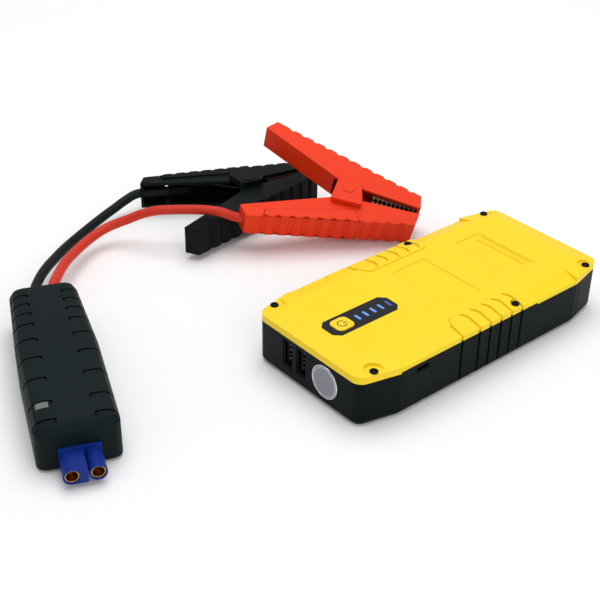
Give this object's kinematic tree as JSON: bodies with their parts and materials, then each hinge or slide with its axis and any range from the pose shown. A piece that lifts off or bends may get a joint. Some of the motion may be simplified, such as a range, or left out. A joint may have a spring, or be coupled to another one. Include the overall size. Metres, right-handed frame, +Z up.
{
  "type": "jump starter pack",
  "caption": "Flat car jump starter pack with display key, upright sockets and torch, beside its smart lead: a keyed plug and module, two cables and two sprung battery clamps.",
  "frame": {"origin": "centre of the pack's base, on the floor", "axes": "+Z up, +Y from the torch end of the pack to its outlet end, +X to the side with the charging socket"},
  "size_m": [0.2276, 0.2754, 0.0484],
  "materials": {
    "yellow_plastic": "fine matt moulding, bright yellow",
    "tub_plastic": "satin black moulding",
    "black_screw": "blackened steel",
    "smoked_window": "smoked glossy sheet",
    "light_bar": "milky light guide, lit pale blue",
    "circuit_board": "green solder mask",
    "cell_foil": "silver laminate pouch",
    "port_steel": "bright drawn steel",
    "port_tongue": "black moulding with plated contacts",
    "clear_lens": "clear polished lens",
    "bright_reflector": "vacuum-plated cup",
    "torch_lamp": "phosphor lamp on a white base",
    "plug_plastic": "deep blue moulding",
    "plated_contact": "gold-plated brass",
    "module_plastic": "satin charcoal moulding",
    "gland_rubber": "soft black rubber",
    "red_jacket": "soft red silicone jacket",
    "black_jacket": "soft black silicone jacket",
    "red_clamp_plastic": "satin red moulding",
    "black_clamp_plastic": "satin black moulding",
    "spring_steel": "bright wire",
    "copper_jaw": "copper-plated steel sheet",
    "window_grey": "pale translucent window"
  },
  "bodies": {
    "pack": {"base_housing": "tub_plastic", "top_cover": "yellow_plastic", "cover_screws": "black_screw", "display_window": "smoked_window", "charge_lights": "light_bar", "tact_switch": "port_steel", "display_board": "circuit_board", "main_board": "circuit_board", "charge_board": "circuit_board", "battery_cells": "cell_foil", "usb_shells": "port_steel", "usb_tongues": "port_tongue", "micro_port": "port_steel", "torch_lens": "clear_lens", "torch_reflector": "bright_reflector", "torch_led": "torch_lamp", "outlet_socket": "plug_plastic", "outlet_pins": "plated_contact", "cap_hinge_pin": "port_steel", "module_upper_shell": "module_plastic", "module_lower_shell": "module_plastic", "module_screws": "black_screw", "module_board": "circuit_board", "module_relay": "port_tongue", "status_window": "window_grey", "plug_housing": "plug_plastic", "plug_contacts": "plated_contact", "cable_glands": "gland_rubber", "red_cable": "red_jacket", "black_cable": "black_jacket", "red_cable_arm": "red_clamp_plastic", "red_pivot_pin": "spring_steel", "red_spring": "spring_steel", "red_fixed_jaw": "copper_jaw", "red_cable_lug": "copper_jaw", "black_cable_arm": "black_clamp_plastic", "black_pivot_pin": "spring_steel", "black_spring": "spring_steel", "black_fixed_jaw": "copper_jaw", "black_cable_lug": "copper_jaw"},
    "power_button": {"power_button": "yellow_plastic", "switch_plunger": "port_tongue"},
    "outlet_cap": {"outlet_cap": "tub_plastic"},
    "red_moving_arm": {"red_moving_arm": "red_clamp_plastic", "red_moving_jaw": "copper_jaw"},
    "black_moving_arm": {"black_moving_arm": "black_clamp_plastic", "black_moving_jaw": "copper_jaw"}
  },
  "joints": [
    {"name": "power_press", "type": "slide", "parent": "pack", "child": "power_button", "axis": [0, 0, -1], "range_m": [0, 0.0006], "stiffness_N_per_m": 400, "springref_m": -0.002},
    {"name": "outlet_cap_swing", "type": "hinge", "parent": "pack", "child": "outlet_cap", "pos_m": [-0.0152, 0.0768, 0.011], "axis": [0, 0, 1], "range_deg": [0, 110]},
    {"name": "red_squeeze", "type": "hinge", "parent": "pack", "child": "red_moving_arm", "pos_m": [-0.0978, 0.0322, 0.0193], "axis": [0.3893, -0.152, 0.9085], "range_deg": [0, 28], "stiffness_Nm_per_rad": 0.6, "springref_deg": -20.05, "deforming": ["red_spring"]},
    {"name": "black_squeeze", "type": "hinge", "parent": "pack", "child": "black_moving_arm", "pos_m": [-0.1469, 0.0042, 0.0112], "axis": [0, 0, -1], "range_deg": [0, 22], "stiffness_Nm_per_rad": 0.6, "springref_deg": -20.05, "deforming": ["black_spring"]}
  ]
}
